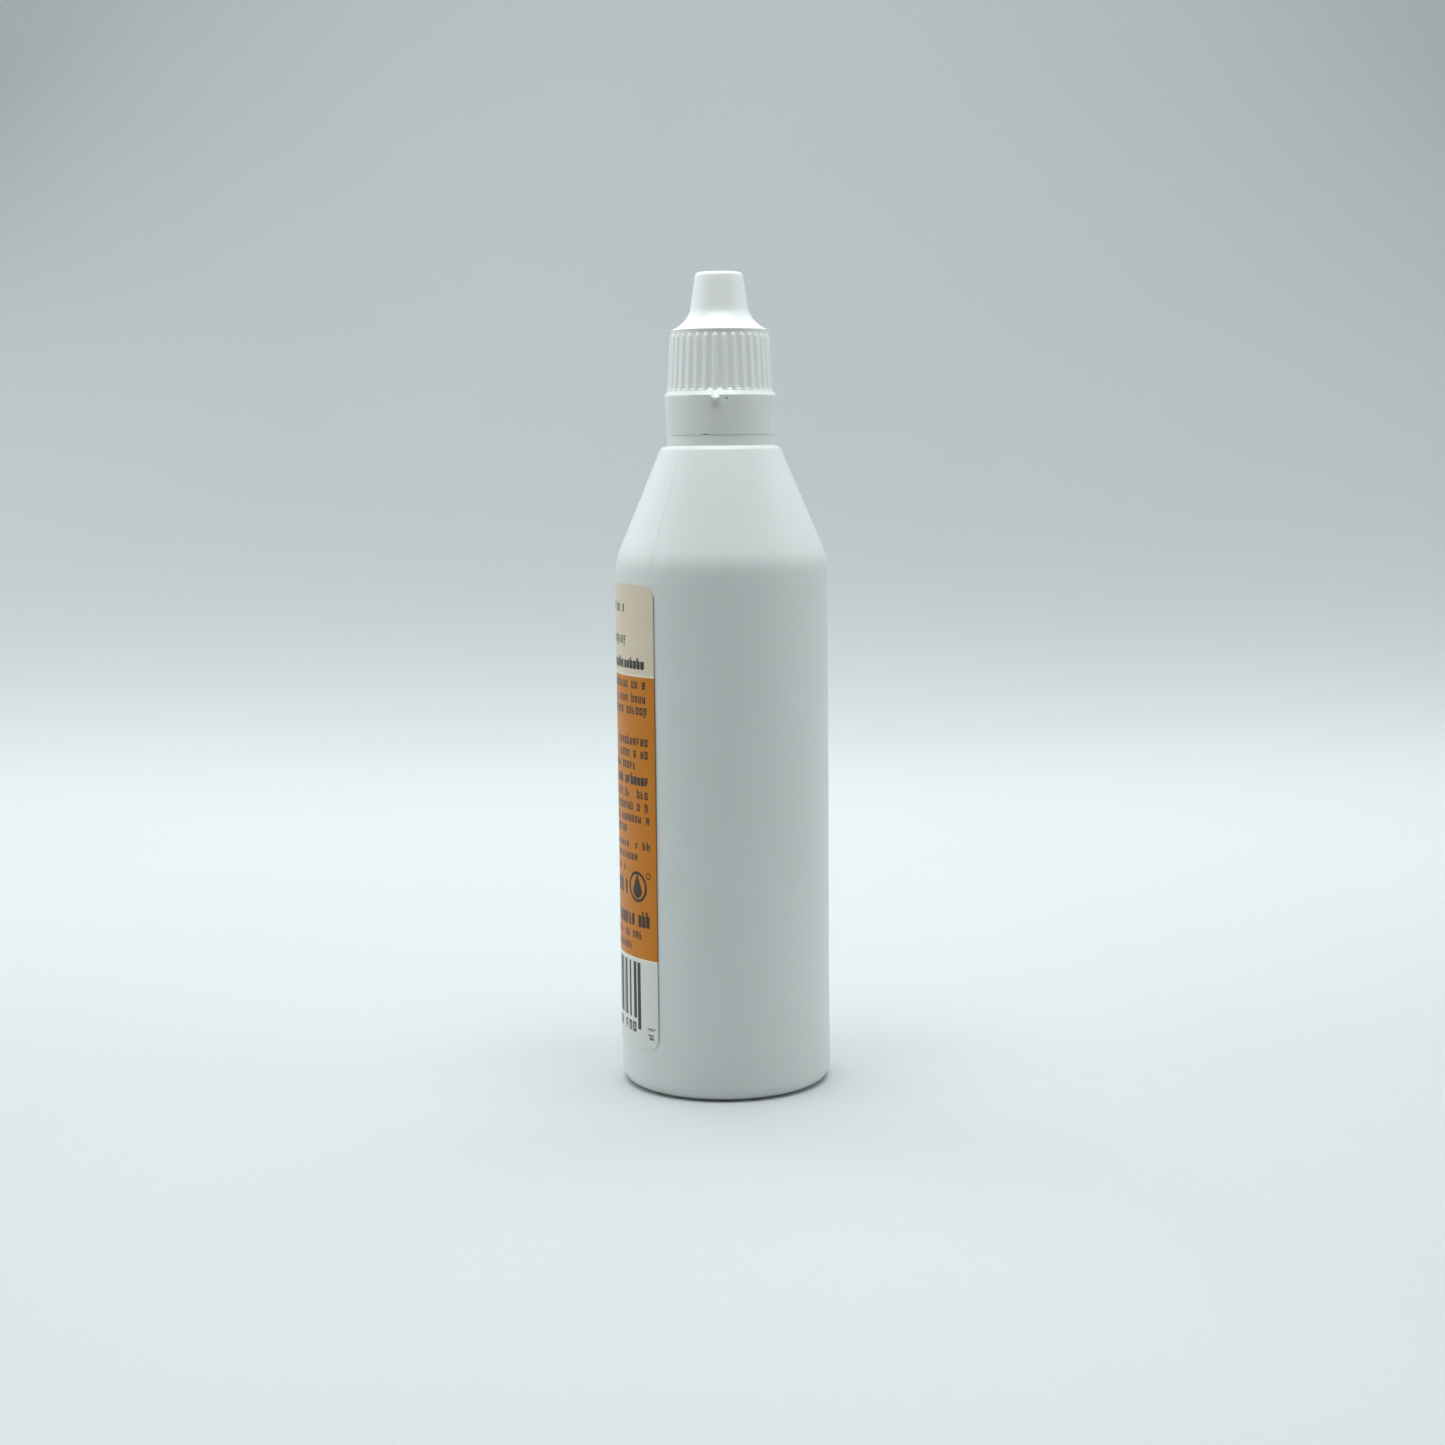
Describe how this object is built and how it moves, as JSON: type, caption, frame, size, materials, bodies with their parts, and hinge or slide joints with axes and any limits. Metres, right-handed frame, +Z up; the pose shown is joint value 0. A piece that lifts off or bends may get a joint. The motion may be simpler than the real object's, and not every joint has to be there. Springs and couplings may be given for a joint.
{
  "type": "dropper bottle",
  "caption": "Tall squeeze dropper bottle with a conical shoulder, ribbed screw cap with a tall tip, tamper ring, pressed-in nozzle and wrap-round label.",
  "frame": {"origin": "middle of the base, on the surface the bottle stands on", "axes": "+Z up along the bottle's axis through the neck; -Y faces the viewer and the bare side of the bottle; +X to the viewer's right"},
  "size_m": [0.0381, 0.0381, 0.1454],
  "materials": {
    "bottle_white": "satin white blown HDPE",
    "insert_natural": "milky natural LDPE",
    "cap_white": "satin white moulded polypropylene",
    "band_white": "satin white moulded polypropylene",
    "label_paper": "varnished printed paper, cream, orange and white bands"
  },
  "bodies": {
    "bottle": {"bottle": "bottle_white", "dropper_insert": "insert_natural", "label": "label_paper"},
    "tamper_band": {"tamper_band": "band_white"},
    "cap": {"cap": "cap_white"}
  },
  "joints": [
    {"name": "cap_turn", "type": "hinge", "parent": "bottle", "child": "tamper_band", "pos_m": [0, 0, 0], "axis": [0, 0, 1], "range_deg": [0, 2520]},
    {"name": "cap_lift", "type": "slide", "parent": "tamper_band", "child": "cap", "axis": [0, 0, 1], "range_m": [0, 0.0224]}
  ],
  "couplings": [
    {"joint": "cap_turn", "follows": "cap_lift", "rad_per_m": 1963.5}
  ]
}
